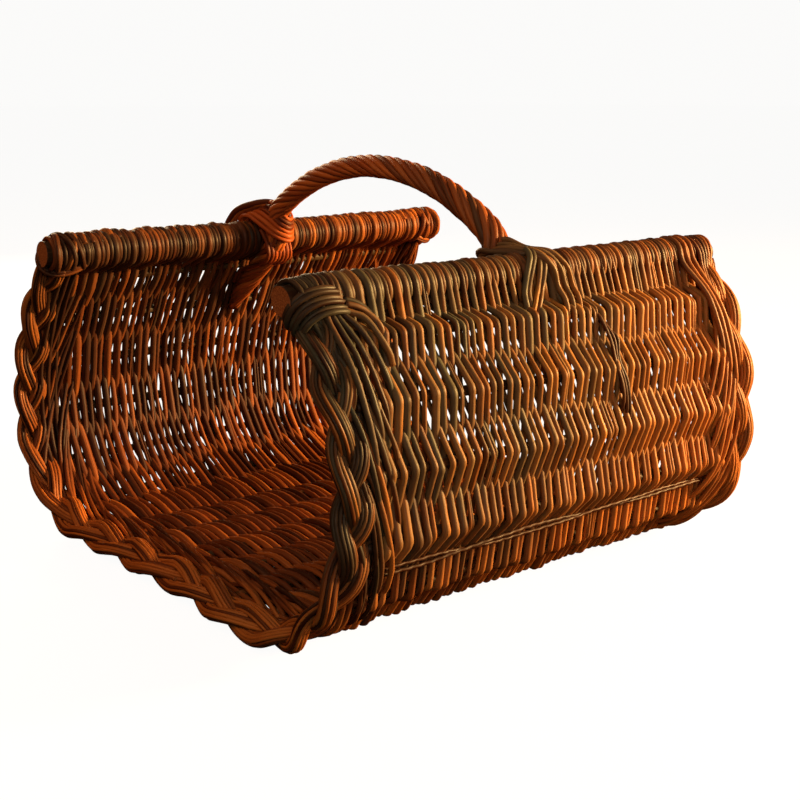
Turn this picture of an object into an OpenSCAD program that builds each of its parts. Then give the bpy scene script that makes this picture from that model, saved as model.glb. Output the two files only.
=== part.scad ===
// Open-ended willow log basket: two stick rails carry a woven U-shaped trough, each open end is
// finished by a plaited border, and a roped bow handle is lashed across the two rails.
// X runs across the trough, Y runs along it, Z is up. The origin is on the floor, under the middle.

/* [Rails] */
// Length of each rail stick, which is the overall length of the basket
rail_length = 500; // [440:10:600]
// Diameter of the bare rail stick
rail_diameter = 24; // [18:1:28]
// Distance between the two rails, centre to centre
rail_spacing = 391; // [370:1:410]
// Height of the rail centres above the floor
rail_height = 288; // [270:1:300]
// Thickness of the rods wound round each rail
wrap_thickness = 5.5; // [4:0.5:7]
// Bare end of each rail that shows past the lashings
rail_end_length = 8; // [4:1:14]

/* [Trough] */
// Width of the flat bottom, between the two corner curves
flat_width = 340; // [320:5:360]
// Radius of the lower corner curves, at the middle of the wall
corner_radius = 100; // [90:1:110]
// Radius of the side walls above the corners, at the middle of the wall
side_radius = 230; // [215:1:250]
// Thickness of the woven wall, from the crowns of the weavers inside to those outside
wall_thickness = 18; // [16:0.5:22]
// Length of the woven part along the trough, between the borders
woven_length = 410; // [380:5:430]

/* [Stakes] */
// Diameter of each lengthwise stake
stake_diameter = 9; // [7:0.5:10]
// Distance from the rail centre to the first stake, along the wall
first_stake_drop = 44; // [36:1:60]
// Stakes in each side of the trough, besides the one in the middle of the bottom
stakes_per_side = 9; // [8:1:10]
// Diameter of the two thin rods twined along each lower corner
twine_diameter = 5; // [3:0.5:6]
// Distance from the rail centre to each twined row, along the wall
twine_drop = 222; // [200:1:235]

/* [Borders] */
// Width of each plaited border along the trough
border_width = 40; // [30:1:44]
// Thickness of each plaited border through the wall
border_thickness = 24; // [20:1:26]

/* [Handle] */
// Height of the middle of the handle above the rail centres
handle_rise = 82; // [70:1:100]
// Radius of the bow over most of its length
handle_radius = 272; // [250:1:300]
// Diameter of the bow inside the roping
bow_diameter = 10; // [8:1:11]
// Diameter of each rod roped round the bow
roping_rod_diameter = 5.6; // [4:0.1:5.7]
// Number of rods roped round the bow
roping_rods = 8; // [7:1:8]
// Length along the bow in which a roping rod goes once round it
roping_lay = 128; // [100:4:180]
// Diameter over the lashing where the handle crosses a rail
lashing_diameter = 46; // [44:1:48]
// Length of that lashing along the rail
lashing_length = 60; // [40:1:80]

/* [Hidden] */
$fn = 96;
GAP = 0.1;                                      // clearance between a piece and what it is wound on
CLEARANCE = 1;                                  // wider clearance, where two pieces only pass
OVERRUN = 1;                                    // how far a cut runs past the faces it opens
RAIL_COLOUR = [0.62, 0.40, 0.20];
WRAP_COLOUR = [0.50, 0.27, 0.11];
STAKE_COLOUR = [0.45, 0.26, 0.12];
WEAVE_COLOUR = [0.62, 0.35, 0.14];
BORDER_COLOUR = [0.36, 0.19, 0.09];
HANDLE_COLOUR = [0.50, 0.24, 0.09];
BOW_COLOUR = [0.55, 0.36, 0.18];

rail_x = rail_spacing / 2;
wrap_radius = rail_diameter / 2 + wrap_thickness;
handle_diameter = bow_diameter + 2 * roping_rod_diameter + 2 * GAP;
flat_half = flat_width / 2;
base_z = border_thickness / 2;                  // the borders rest on the floor, the weave hangs clear
wall_half = wall_thickness / 2;

// Middle of the wall: a flat bottom, a corner curve, then a wider side curve that ends in the rail.
corner_centre = [flat_half, base_z + corner_radius];
rail_centre = [rail_x, rail_height];
radius_change = side_radius - corner_radius;
to_rail = rail_centre - corner_centre;
to_rail_length = norm(to_rail);
along = (radius_change ^ 2 - side_radius ^ 2 + to_rail_length ^ 2) / (2 * to_rail_length);
across = sqrt(radius_change ^ 2 - along ^ 2);
to_rail_unit = to_rail / to_rail_length;
side_centre = corner_centre + along * to_rail_unit + across * [-to_rail_unit.y, to_rail_unit.x];
meet_angle = atan2(corner_centre.y - side_centre.y, corner_centre.x - side_centre.x);
rail_angle = atan2(rail_centre.y - side_centre.y, rail_centre.x - side_centre.x);
corner_end = flat_half + corner_radius * (meet_angle + 90) * PI / 180;
half_girth = corner_end + side_radius * (rail_angle - meet_angle) * PI / 180;

// The point of the wall at a distance round from the middle of the bottom, moved outward by proud.
function wall_angle(distance) =
    distance <= flat_half ? -90
    : distance <= corner_end ? -90 + (distance - flat_half) / corner_radius * 180 / PI
    : meet_angle + (distance - corner_end) / side_radius * 180 / PI;
function wall_middle(distance) =
    distance <= flat_half ? [distance, base_z]
    : distance <= corner_end ? corner_centre + corner_radius * direction(wall_angle(distance))
    : side_centre + side_radius * direction(wall_angle(distance));
function direction(angle) = [cos(angle), sin(angle)];
function wall_point(distance, proud = 0) =
    wall_middle(distance) + proud * direction(wall_angle(distance));

// Stakes are spaced evenly round the wall, from the first one under each rail.
first_stake = half_girth - first_stake_drop;
stake_pitch = first_stake / stakes_per_side;
STAKE_STEPS = [for (step = [-stakes_per_side : stakes_per_side]) step];
function stake_name(step) =
    step == 0 ? "stake_bottom_middle" : str("stake_", step < 0 ? "left_" : "right_", abs(step));

border_start = woven_length / 2;
border_middle = border_start + border_width / 2;
wrap_inset = 6;                                 // the rail wraps stop this far inside the border's middle
knot_swell = 2.5;                               // how far a knot stands out from the rail wraps
knot_start = border_middle - wrap_inset;
knot_end = rail_length / 2 - rail_end_length;
knot_radius = wrap_radius + knot_swell;
knot_band_bottom = 52;                          // edges of a knot's band, down the wall from the rail
knot_band_top = 24;
knot_band_from = half_girth - knot_band_bottom;
knot_band_to = half_girth - knot_band_top;
knot_band_gap = 0.5;                            // room for the flats of the border inside the band
knot_band_thickness = 5;
border_end = half_girth - knot_radius - CLEARANCE;
EDGE_STEPS = 6;                                 // flats on each round edge of a border
RING_ANGLE = 6;                                 // turn between two rings of a swept piece, at most

// Centre line of the bow: a wide arc over the top, a tight turn down at each end, a short hug
// round the lashed rail, and a leg that lies inside the wall.
hug_radius = lashing_diameter / 2 + bow_diameter / 2 + CLEARANCE;
hug_turn = 45;
leg_length = 60;
shoulder_angle = 34;
leg_x = rail_x - hug_radius;
turn_radius = (leg_x - handle_radius * sin(shoulder_angle)) / (1 - sin(shoulder_angle));
bow_centre_z = rail_height + handle_rise - handle_radius;
turn_centre = [leg_x - turn_radius,
               bow_centre_z + (handle_radius - turn_radius) * cos(shoulder_angle)];
roping_end_angle = 22;                          // the roping stops here, measured up from level
collar_to_angle = 52;
collar_thickness = 5;
BOW_SIDES = 12;
ROPING_SIDES = 6;
ROPING_STEPS = 36;
bow_arc = handle_radius * shoulder_angle * PI / 180;
bow_turn = turn_radius * (90 - shoulder_angle) * PI / 180;
bow_drop = turn_centre.y - rail_height;
bow_hug = hug_radius * hug_turn * PI / 180;
to_turn_end = bow_arc + bow_turn;
to_hug = to_turn_end + bow_drop;
to_leg = to_hug + bow_hug;
to_leg_end = to_leg + leg_length;
to_roping_end = to_turn_end - turn_radius * roping_end_angle * PI / 180;

// The level angle of the outward normal of the bow, and its middle, at a distance from the top.
function bow_angle(distance) =
    distance <= bow_arc ? 90 - distance / handle_radius * 180 / PI
    : distance <= to_turn_end ? 90 - shoulder_angle - (distance - bow_arc) / turn_radius * 180 / PI
    : distance <= to_hug ? 0
    : distance <= to_leg ? (distance - to_hug) / hug_radius * 180 / PI
    : hug_turn;
function bow_middle(distance) =
    distance <= bow_arc ? [0, bow_centre_z] + handle_radius * direction(bow_angle(distance))
    : distance <= to_turn_end ? turn_centre + turn_radius * direction(bow_angle(distance))
    : distance <= to_hug ? [leg_x, rail_height + to_hug - distance]
    : rail_centre - hug_radius * direction(bow_angle(distance))
        + max(distance - to_leg, 0) * [sin(hug_turn), -cos(hug_turn)];

// A round ring of points about the bow at a signed distance from its top, its centre moved away
// from the middle of the bow by offset in the direction turn.
function bow_ring(distance, radius, sides, offset = 0, turn = 0) =
    let (side = distance < 0 ? -1 : 1,
         middle = bow_middle(abs(distance)),
         outward = direction(bow_angle(abs(distance))))
    [for (step = [0 : sides - 1])
        let (angle = 360 * step / sides,
             across = offset * cos(turn) + radius * cos(angle),
             sideways = offset * sin(turn) + radius * sin(angle),
             place = middle + across * outward)
        [side * place.x, sideways, place.y]];

function rings_between(from, to, radius) =
    let (steps = max(1, ceil((to - from) / radius * 180 / PI / RING_ANGLE)))
    [for (step = [0 : steps - 1]) from + (to - from) * step / steps];
BOW_DISTANCES = concat(
    rings_between(0, bow_arc, handle_radius), rings_between(bow_arc, to_turn_end, turn_radius),
    [to_turn_end], rings_between(to_hug, to_leg, hug_radius), [to_leg, to_leg_end]);
function wall_distances(end) = concat(
    rings_between(flat_half, corner_end, corner_radius),
    rings_between(corner_end, end, side_radius), [end]);
function both_ways(distances) = concat(
    [for (k = [len(distances) - 1 : -1 : 0]) if (distances[k] > 0) -distances[k]], distances);
function wall_place(distance, proud) =
    let (place = wall_point(abs(distance), proud)) [sign(distance) * place.x, place.y];

// A flat shape, x outward from its place and y along the trough, swept round an axis along Y.
module sweep_arc(centre, from, to) {
    translate([centre.x, 0, centre.y]) rotate([90, 0, 0]) rotate([0, 0, from])
        rotate_extrude(angle = to - from) children();
}

// The wall from one rail to the other, as a slab of a given half thickness and length.
module trough_slab(half_thickness, length) {
    distances = both_ways(wall_distances(half_girth));
    rotate([90, 0, 0]) linear_extrude(length, center = true) polygon(concat(
        [for (distance = distances) wall_place(distance, half_thickness)],
        [for (k = [len(distances) - 1 : -1 : 0]) wall_place(distances[k], -half_thickness)]
    ));
}

// A closed solid through a list of rings, each with the same number of points.
module through_rings(rings) {
    sides = len(rings[0]);
    last = len(rings) - 1;
    polyhedron(
        points = [for (ring = rings) each ring],
        faces = concat(
            [[for (k = [sides - 1 : -1 : 0]) k]],
            [for (r = [0 : last - 1], k = [0 : sides - 1])
                let (a = r * sides + k, b = r * sides + (k + 1) % sides)
                each [[a, b, b + sides], [a, b + sides, a + sides]]],
            [[for (k = [0 : sides - 1]) last * sides + k]]
        )
    );
}

// A round bar along the trough, centred at y = 0.
module lengthwise_bar(centre, radius, length) {
    translate([centre.x, 0, centre.y]) rotate([90, 0, 0])
        cylinder(h = length, r = radius, center = true);
}

// A ring round a rail, between two distances along it.
module rail_ring(centre, inner, outer, from, to) {
    translate([centre.x, from, centre.y]) rotate([-90, 0, 0]) difference() {
        cylinder(h = to - from, r = outer);
        translate([0, 0, -OVERRUN]) cylinder(h = to - from + 2 * OVERRUN, r = inner);
    }
}

// Outline of a plaited border, [outward, along the trough]: flat faces in and out, round edges.
function border_outline(grow = 0) =
    let (edge = border_thickness / 2 + grow, flat_edge = (border_width - border_thickness) / 2)
    [for (end = [-1, 1], step = [0 : EDGE_STEPS])
        let (angle = 180 * step / EDGE_STEPS)
        [-end * edge * cos(angle), end * (flat_edge + edge * sin(angle))]];

module mirrored(side) {
    mirror([side < 0 ? 1 : 0, 0, 0]) children();
}

module rail(side) {
    color(RAIL_COLOUR) mirrored(side)
        lengthwise_bar(rail_centre, rail_diameter / 2, rail_length);
}

module rail_wrap(side) {
    color(WRAP_COLOUR) mirrored(side)
        rail_ring(rail_centre, rail_diameter / 2 + GAP, wrap_radius, -knot_start, knot_start);
}

module woven_body() {
    color(WEAVE_COLOUR) difference() {
        trough_slab(wall_half, woven_length);
        for (side = [-1, 1]) mirrored(side)
            lengthwise_bar(rail_centre, wrap_radius + GAP, rail_length);
        for (step = STAKE_STEPS) mirrored(step)
            lengthwise_bar(wall_point(abs(step) * stake_pitch), stake_diameter / 2 + GAP,
                           rail_length);
    }
}

module stake(step) {
    color(STAKE_COLOUR) mirrored(step)
        lengthwise_bar(wall_point(abs(step) * stake_pitch), stake_diameter / 2, woven_length);
}

// Two thin rods, side by side, on the outside of the wall along a lower corner.
module twined_row(side) {
    seat = wall_half + twine_diameter / 2 + GAP;
    spread = twine_diameter / 2 + GAP;
    color(STAKE_COLOUR) mirrored(side) for (shift = [-spread, spread])
        lengthwise_bar(wall_point(half_girth - twine_drop + shift, seat), twine_diameter / 2,
                       woven_length);
}

// end is -1 at the front and 1 at the back.
module border(end) {
    middle_y = end * border_middle;
    outline = border_outline();
    color(BORDER_COLOUR) through_rings([for (distance = both_ways(wall_distances(border_end)))
        [for (point = outline)
            let (place = wall_place(distance, point.x))
            [place.x, middle_y + point.y, place.y]]]);
}

module handle_bow() {
    color(BOW_COLOUR) through_rings([for (distance = both_ways(BOW_DISTANCES))
        bow_ring(distance, bow_diameter / 2, BOW_SIDES)]);
}

// Rods of one size laid side by side round the bow, all with the same long twist.
module handle_roping() {
    seat = bow_diameter / 2 + GAP + roping_rod_diameter / 2;
    color(HANDLE_COLOUR) for (rod = [0 : roping_rods - 1])
        through_rings([for (step = [0 : ROPING_STEPS])
            let (distance = to_roping_end * (2 * step / ROPING_STEPS - 1),
                 turn = 360 * (rod / roping_rods + distance / roping_lay))
            bow_ring(distance, roping_rod_diameter / 2, ROPING_SIDES, seat, turn)]);
}

// A collar round the wrapped rail, joined to a collar round the foot of the handle.
module handle_lashing(side) {
    color(WRAP_COLOUR) mirrored(side) difference() {
        union() {
            lengthwise_bar(rail_centre, lashing_diameter / 2, lashing_length);
            sweep_arc(turn_centre, roping_end_angle, collar_to_angle)
                translate([turn_radius, 0]) circle(d = handle_diameter + 2 * collar_thickness);
        }
        lengthwise_bar(rail_centre, wrap_radius + GAP, rail_length);
        sweep_arc(turn_centre, 0, 90) translate([turn_radius, 0])
            circle(d = handle_diameter + 2 * GAP);
        trough_slab(wall_half + knot_band_gap, woven_length);
    }
}

// Wraps round the end of a rail, and a band round the top of the border below it.
module knot(side, end) {
    band_angles = [wall_angle(knot_band_from), wall_angle(knot_band_to)];
    color(WRAP_COLOUR) mirrored(side) mirror([0, end < 0 ? 1 : 0, 0]) {
        rail_ring(rail_centre, rail_diameter / 2 + GAP, knot_radius, knot_start, knot_end);
        translate([0, border_middle, 0])
            sweep_arc(side_centre, band_angles[0], band_angles[1])
                translate([side_radius, 0]) difference() {
                    polygon(border_outline(knot_band_thickness));
                    polygon(border_outline(knot_band_gap));
                }
    }
}

rail(-1);  // rail_left
rail(1);  // rail_right
rail_wrap(-1);  // rail_wrap_left
rail_wrap(1);  // rail_wrap_right
woven_body();
for (step = STAKE_STEPS) stake(step);
twined_row(-1);  // twined_row_left
twined_row(1);  // twined_row_right
border(-1);  // border_front
border(1);  // border_back
handle_bow();
handle_roping();
handle_lashing(-1);  // handle_lashing_left
handle_lashing(1);  // handle_lashing_right
knot(-1, -1);  // knot_front_left
knot(1, -1);  // knot_front_right
knot(-1, 1);  // knot_back_left
knot(1, 1);  // knot_back_right
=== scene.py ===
"""An open-ended willow log basket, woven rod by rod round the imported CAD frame.

X runs across the trough, Y along it, Z up, in metres. Every rod is a swept tube with its own bends,
taper and bark. Distances round the wall, called g, start at the right rail and go under the bottom.
"""
import math

import bpy
import numpy as np
from mathutils import Matrix, Vector


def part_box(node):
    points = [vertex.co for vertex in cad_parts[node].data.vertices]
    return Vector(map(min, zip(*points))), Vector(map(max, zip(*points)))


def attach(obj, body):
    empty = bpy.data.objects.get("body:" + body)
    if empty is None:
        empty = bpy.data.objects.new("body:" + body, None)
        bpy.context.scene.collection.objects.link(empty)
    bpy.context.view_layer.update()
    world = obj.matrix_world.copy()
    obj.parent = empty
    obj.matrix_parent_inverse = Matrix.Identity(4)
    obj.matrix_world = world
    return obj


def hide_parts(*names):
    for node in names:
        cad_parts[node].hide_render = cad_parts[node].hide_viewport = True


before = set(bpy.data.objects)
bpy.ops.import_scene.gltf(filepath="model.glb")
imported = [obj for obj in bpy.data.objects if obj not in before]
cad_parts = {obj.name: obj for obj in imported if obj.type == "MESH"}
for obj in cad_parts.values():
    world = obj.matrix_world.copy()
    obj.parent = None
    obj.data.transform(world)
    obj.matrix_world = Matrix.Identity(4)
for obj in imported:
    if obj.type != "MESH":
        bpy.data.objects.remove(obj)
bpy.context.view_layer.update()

MM = 0.001
FULL_TURN = 2 * math.pi
rng = np.random.default_rng(20)

RIGHT, LEFT = 1, -1              # signs of X
FRONT, BACK = -1, 1              # signs of Y
SIDES = ((RIGHT, "right"), (LEFT, "left"))
ENDS = ((FRONT, "front"), (BACK, "back"))

# ---- places taken from the frame
rail_low, rail_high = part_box("rail_right")
RAIL_X = (rail_low.x + rail_high.x) / 2
RAIL_Z = (rail_low.z + rail_high.z) / 2
RAIL_R = (rail_high.z - rail_low.z) / 2
RAIL_HALF = rail_high.y
WOVEN_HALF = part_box("woven_body")[1].y
border_low, border_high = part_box("border_back")
BORDER_Y = (border_low.y + border_high.y) / 2
BORDER_HALF_WIDTH = (border_high.y - border_low.y) / 2
stake_low, stake_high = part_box("stake_left_1")
STAKE_R = (stake_high.z - stake_low.z) / 2
bow_low, bow_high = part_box("handle_bow")
HANDLE_TOP = bow_high.z - (bow_high.y - bow_low.y) / 2     # middle of the bow rod at its highest

# ---- sizes of the rods
WEAVER_R = 2.62 * MM
BORDER_ROD_R = 1.6 * MM
FIRST_STAKE = 44 * MM           # from the rail centre down the wall to the first stake
STAKES = 19
SEAM_DROP = 222 * MM            # from the rail centre down the wall to the twined row


def rise(value, zero_at, one_at):
    """0 at one value and 1 at another, straight between them and level past both."""
    return np.clip((value - zero_at) / (one_at - zero_at), 0, 1)


# ---- the wall's cross-section
class Section:
    """Middle line of the wall seen along Y, from the right rail round the bottom to the left one."""

    def __init__(self, right, left, base_z):
        """right and left are (half width of the flat bottom, corner radius, side radius)."""
        right_side = self.side(*right, base_z)
        left_side = self.side(*left, base_z)
        left_side[:, 0] *= -1
        points = np.concatenate([right_side[::-1], left_side[1:]])
        steps = np.linalg.norm(np.diff(points, axis=0), axis=1)
        self.at = np.concatenate([[0.0], np.cumsum(steps)])
        self.points = points
        tangent = np.gradient(points, axis=0)
        tangent /= np.linalg.norm(tangent, axis=1)[:, None]
        self.normals = np.stack([-tangent[:, 1], tangent[:, 0]], 1)
        self.girth = self.at[-1]

    @staticmethod
    def side(flat_half, corner_radius, side_radius, base_z):
        """Bottom centre to rail: flat, corner arc, then the side arc that ends at the rail."""
        corner = np.array([flat_half, base_z + corner_radius])
        rail = np.array([RAIL_X, RAIL_Z])
        change = side_radius - corner_radius
        gap = np.linalg.norm(rail - corner)
        unit = (rail - corner) / gap
        along = (change ** 2 - side_radius ** 2 + gap ** 2) / (2 * gap)
        across = math.sqrt(change ** 2 - along ** 2)
        centre = corner + along * unit + across * np.array([-unit[1], unit[0]])
        meet = math.atan2(*(corner - centre)[::-1])
        end = math.atan2(*(rail - centre)[::-1])
        flat = np.stack([np.linspace(0, flat_half, 90), np.full(90, base_z)], 1)
        turn = np.linspace(-math.pi / 2, meet, 160)[1:]
        climb = np.linspace(meet, end, 200)[1:]
        return np.concatenate([
            flat,
            corner + corner_radius * np.stack([np.cos(turn), np.sin(turn)], 1),
            centre + side_radius * np.stack([np.cos(climb), np.sin(climb)], 1),
        ])

    def place(self, g, proud=0.0, y=0.0):
        """Points at distances g from the right rail, moved out from the wall by proud."""
        g, proud, y = np.broadcast_arrays(np.asarray(g, float), proud, y)
        x = np.interp(g, self.at, self.points[:, 0])
        z = np.interp(g, self.at, self.points[:, 1])
        nx = np.interp(g, self.at, self.normals[:, 0])
        nz = np.interp(g, self.at, self.normals[:, 1])
        return np.stack([x + proud * nx, y, z + proud * nz], -1)

    def normal(self, g):
        """Unit vectors out of the wall at distances g."""
        n = np.stack([np.interp(g, self.at, self.normals[:, 0]), np.zeros(g.shape),
                      np.interp(g, self.at, self.normals[:, 1])], -1)
        return n / np.linalg.norm(n, axis=-1, keepdims=True)


RIGHT_SIDE = (150 * MM, 105 * MM, 222 * MM)
LEFT_SIDE = (176 * MM, 104 * MM, 240 * MM)
WEAVE = Section(RIGHT_SIDE, LEFT_SIDE, 17 * MM)     # middle of the weave
EDGE = Section(RIGHT_SIDE, LEFT_SIDE, 12 * MM)      # middle of the borders, which hang a little lower

# ---- painted light and shade by place
# How far a place paints a rod darker, as painted shade (-), or lighter, as painted light (+)
LEFT_PAINTED_SHADE = -0.14
BACK_PAINTED_LIGHT, HIGH_LEFT_BACK_PAINTED_LIGHT = 0.10, 0.12
INSIDE_PAINTED_SHADE, INSIDE_LOW_PAINTED_SHADE = -0.26, -0.10
BOTTOM_EDGE_PAINTED_LIGHT = 0.46
RIGHT_EDGE_PAINTED_SHADE, LEFT_EDGE_PAINTED_LIGHT = -0.30, 0.22
RIGHT_RAIL_PAINTED_SHADE = -0.30


def inner_share(points):
    """1 on the trough's side of the wall, 0 on its outer side and away from the wall."""
    gaps = np.linalg.norm(points[:, None, [0, 2]] - WEAVE.points[None, ::3, :], axis=2)
    nearest = gaps.argmin(1) * 3
    off_wall = ((points[:, [0, 2]] - WEAVE.points[nearest]) * WEAVE.normals[nearest]).sum(1)
    return rise(off_wall, 4 * MM, -4 * MM) * rise(gaps.min(1), 18 * MM, 14 * MM)


def rail_share(points):
    """1 over a rail, 0 on the wall below it."""
    return rise(points[:, 2], RAIL_Z - 14 * MM, RAIL_Z - 6 * MM)


def tone_with_painted_light(points, tone):
    """A rod's own tone, with painted light and shade added by the places that it passes: painted shade on
    the left, towards the front, on the trough's side of the wall, on the right of the front edge and on the
    right rail; painted light towards the back and along the bottom and left of the front edge.
    """
    x, y, z = points.T
    left = rise(x, 0.12, -0.08) * rise(z, 0.34, 0.32)
    high_left = rise(z, 0.24, 0.27) * left
    low = rise(z, 0.07, 0.03)
    lengthwise = np.clip(y / WOVEN_HALF, -1, 1)
    front_edge = rise(-y, WOVEN_HALF, WOVEN_HALF + 10 * MM)
    upright_edge = np.clip(-30 * x, RIGHT_EDGE_PAINTED_SHADE, LEFT_EDGE_PAINTED_LIGHT)
    tone = tone + LEFT_PAINTED_SHADE * left
    tone = tone + (BACK_PAINTED_LIGHT + HIGH_LEFT_BACK_PAINTED_LIGHT * high_left) * lengthwise
    tone = tone + front_edge * (BOTTOM_EDGE_PAINTED_LIGHT * low + upright_edge * (1 - low))
    # painted shade on the parts that lie on the trough's side of the wall, less of it low down
    tone = tone + inner_share(points) * (INSIDE_PAINTED_SHADE + (INSIDE_LOW_PAINTED_SHADE - INSIDE_PAINTED_SHADE) * low)
    return tone + RIGHT_RAIL_PAINTED_SHADE * rail_share(points) * rise(x, 0, 0.1)


def painted_warm_light_of(points):
    """How much painted warm light a rod gets, as a lighter golden tint: most on the right wall, towards the
    back, less up at the rails.
    """
    x, y, z = points.T
    below_rail = np.maximum(rise(z, 0.285, 0.245), 0.15)
    return 0.5 * rise(x, 0.05, 0.23) * rise(y, -0.16, 0.18) * below_rail


def olive_and_painted_shade_of(points):
    """How olive a rod is: partly the bark's own olive, partly painted shade, most high on the right wall and
    towards the front, least in the trough.
    """
    x, y, z = points.T
    high_front = rise(z, 0.03, 0.23) * rise(y, 0.25, -0.10)
    right = rise(x, -0.02, 0.13)
    olive = (0.2 + 0.8 * high_front) * right + 0.22 * high_front * (1 - right)
    return olive * (1 - 0.35 * rail_share(points) * right)


# ---- materials
# Noises of the bark: (cycles per metre along the rod, across it, across it), and the detail
STREAKS = ((14.0, 850.0, 850.0), 4.0)
PATCHES = ((22.0, 160.0, 160.0), 3.0)
OLIVE_PATCHES = ((9.0, 90.0, 90.0), 2.0)
SPECKS = ((420.0, 900.0, 900.0), 2.0)
# How the bark's shade, from dark to light, adds up
TONE_SHARE, STREAK_SHARE, PATCH_SHARE = 0.70, 0.76, 0.16
SHADE_OFFSET = -0.31
REDDEN = (1.13, 0.76, 0.66)      # tint of the bark that has no olive in it
LEAF_SCAR = (0.35, 0.28, 0.22)   # tint of the small dark scars


def noise(nodes, links, vector, scale, detail):
    """A noise texture on the rod's own coordinates, stretched along the rod by scale."""
    stretch = nodes.new("ShaderNodeVectorMath")
    stretch.operation = "MULTIPLY"
    stretch.inputs[1].default_value = scale
    links.new(vector, stretch.inputs[0])
    tex = nodes.new("ShaderNodeTexNoise")
    tex.inputs["Scale"].default_value = 1.0
    tex.inputs["Detail"].default_value = detail
    tex.inputs["Roughness"].default_value = 0.55
    links.new(stretch.outputs[0], tex.inputs["Vector"])
    return tex.outputs["Fac"]


def maths(nodes, links, operation, *values, clamp=False):
    """A Math node; its values are numbers or other nodes' outputs."""
    node = nodes.new("ShaderNodeMath")
    node.operation = operation
    node.use_clamp = clamp
    for socket, value in zip(node.inputs, values):
        if isinstance(value, (int, float)):
            socket.default_value = value
        else:
            links.new(value, socket)
    return node.outputs[0]


def map_range(nodes, links, value, **limits):
    """A Map Range node; limits are its sockets' names with _ for a space."""
    node = nodes.new("ShaderNodeMapRange")
    for name, limit in limits.items():
        node.inputs[name.replace("_", " ")].default_value = limit
    links.new(value, node.inputs["Value"])
    return node.outputs[0]


def ramp(nodes, links, factor, stops):
    """A colour ramp; stops are (position, colour)."""
    node = nodes.new("ShaderNodeValToRGB")
    elements = node.color_ramp.elements
    while len(elements) < len(stops):
        elements.new(0.5)
    for element, (position, colour) in zip(elements, stops):
        element.position = position
        element.color = (*colour, 1.0)
    links.new(factor, node.inputs[0])
    return node.outputs[0]


def mix_colour(nodes, links, factor, a, b, blend="MIX"):
    """A Mix node for colours; its inputs are constants or other nodes' outputs."""
    node = nodes.new("ShaderNodeMix")
    node.data_type = "RGBA"
    node.blend_type = blend
    for socket, value in ((node.inputs[0], factor), (node.inputs[6], a), (node.inputs[7], b)):
        if isinstance(value, (int, float)):
            socket.default_value = value
        elif isinstance(value, tuple):
            socket.default_value = (*value, 1.0)
        else:
            links.new(value, socket)
    return node.outputs[2]


def bump(nodes, links, shader, height, strength, distance):
    """Raise the surface by height, up to distance metres."""
    node = nodes.new("ShaderNodeBump")
    node.inputs["Strength"].default_value = strength
    node.inputs["Distance"].default_value = distance
    links.new(height, node.inputs["Height"])
    links.new(node.outputs[0], shader.inputs["Normal"])


def new_material(name, roughness=0.5):
    """A dull material: (material, nodes, links, shader)."""
    material = bpy.data.materials.new(name)
    material.use_nodes = True
    nodes, links = material.node_tree.nodes, material.node_tree.links
    shader = nodes["Principled BSDF"]
    shader.inputs["Roughness"].default_value = roughness
    shader.inputs["Specular IOR Level"].default_value = 0.16
    return material, nodes, links, shader


def attribute(nodes, name):
    """The vector that a rod's mesh holds under a name."""
    node = nodes.new("ShaderNodeAttribute")
    node.attribute_name = name
    return node.outputs["Vector"]


def willow(name, dark, middle, light, olive, olive_share):
    """Brown willow bark: colour by rod with painted light and shade in its tone, long streaks, olive patches
    that are partly painted shade, a golden tint of painted warm light, leaf scars and fine ridges.
    """
    material, nodes, links, shader = new_material(name)
    place = attribute(nodes, "rod_place")
    parts = nodes.new("ShaderNodeSeparateXYZ")
    links.new(attribute(nodes, "rod_look_and_painted_light"), parts.inputs[0])
    tone, olive_and_painted_shade, painted_warm_light = parts.outputs
    streak = noise(nodes, links, place, *STREAKS)
    patch = noise(nodes, links, place, *PATCHES)
    olive_patch = noise(nodes, links, place, *OLIVE_PATCHES)
    speck = noise(nodes, links, place, *SPECKS)
    shade = maths(nodes, links, "MULTIPLY_ADD", tone, TONE_SHARE, SHADE_OFFSET)
    shade = maths(nodes, links, "MULTIPLY_ADD", streak, STREAK_SHARE, shade)
    shade = maths(nodes, links, "MULTIPLY_ADD", patch, PATCH_SHARE, shade)
    colour = ramp(nodes, links, shade, ((0.12, dark), (0.45, middle), (0.85, light)))
    # painted light: the golden share mixes the bark towards a lighter, more golden copy of its light colour
    painted_light_colour = tuple(min(1, channel * 1.25) for channel in light)
    colour = mix_colour(nodes, links, painted_warm_light, colour, painted_light_colour)
    # the olive share, partly painted shade, turns the bark redder where it is low and olive where it is high
    redness = maths(nodes, links, "MULTIPLY_ADD", olive_and_painted_shade, -1.5, 0.9, clamp=True)
    colour = mix_colour(nodes, links, redness, colour, REDDEN, "MULTIPLY")
    greening = map_range(nodes, links, olive_patch, From_Min=0.38, From_Max=0.58)
    greening = maths(nodes, links, "MULTIPLY", greening, olive_and_painted_shade, clamp=True)
    greening = maths(nodes, links, "MULTIPLY", greening, olive_share)
    colour = mix_colour(nodes, links, greening, colour, olive)
    scars = ramp(nodes, links, speck, ((0.66, (1, 1, 1)), (0.78, LEAF_SCAR)))
    colour = mix_colour(nodes, links, 0.8, colour, scars, "MULTIPLY")
    links.new(colour, shader.inputs["Base Color"])
    rough = map_range(nodes, links, patch, To_Min=0.36, To_Max=0.62)
    links.new(rough, shader.inputs["Roughness"])
    height = maths(nodes, links, "MULTIPLY_ADD", patch, 0.8, streak)
    bump(nodes, links, shader, height, 0.35, 0.6 * MM)
    return material


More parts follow.
